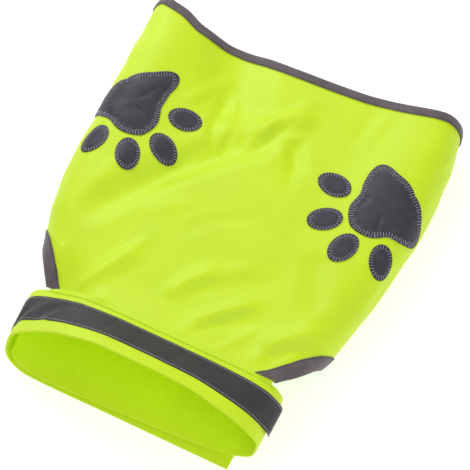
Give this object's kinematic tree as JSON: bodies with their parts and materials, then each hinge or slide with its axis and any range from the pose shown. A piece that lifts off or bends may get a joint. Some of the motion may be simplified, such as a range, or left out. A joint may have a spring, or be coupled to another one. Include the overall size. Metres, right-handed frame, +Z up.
{
  "type": "dog safety vest",
  "caption": "Open, flattened tube of a dog's safety vest in fluorescent knit, with grey bound edges, a taped neck band and paw prints.",
  "frame": {"origin": "on the floor under the middle of the vest's bounding box", "axes": "+Y from the neck to the rear hem, +Z up through the back, +X to the side of the strap that laps inside at the neck"},
  "size_m": [0.307, 0.355, 0.078],
  "materials": {
    "fluorescent_knit": "fluorescent yellow-green polyester knit, matt",
    "grey_binding": "purple-grey woven binding tape",
    "reflective_cloth": "dark grey retroreflective cloth, satin",
    "closure_tape": "yellow hook-and-loop tape"
  },
  "bodies": {
    "root": {"back_panel": "fluorescent_knit", "hem_binding": "grey_binding", "armhole_binding_left": "grey_binding", "armhole_binding_right": "grey_binding", "neck_band": "fluorescent_knit", "reflective_tape": "reflective_cloth", "neck_closure_hook": "closure_tape", "neck_closure_loop": "closure_tape", "belly_closure_hook": "closure_tape", "belly_closure_loop": "closure_tape", "paw_left_pad": "reflective_cloth", "paw_left_toe_1": "reflective_cloth", "paw_left_toe_2": "reflective_cloth", "paw_left_toe_3": "reflective_cloth", "paw_left_toe_4": "reflective_cloth", "paw_right_pad": "reflective_cloth", "paw_right_toe_1": "reflective_cloth", "paw_right_toe_2": "reflective_cloth", "paw_right_toe_3": "reflective_cloth", "paw_right_toe_4": "reflective_cloth"}
  },
  "joints": []
}
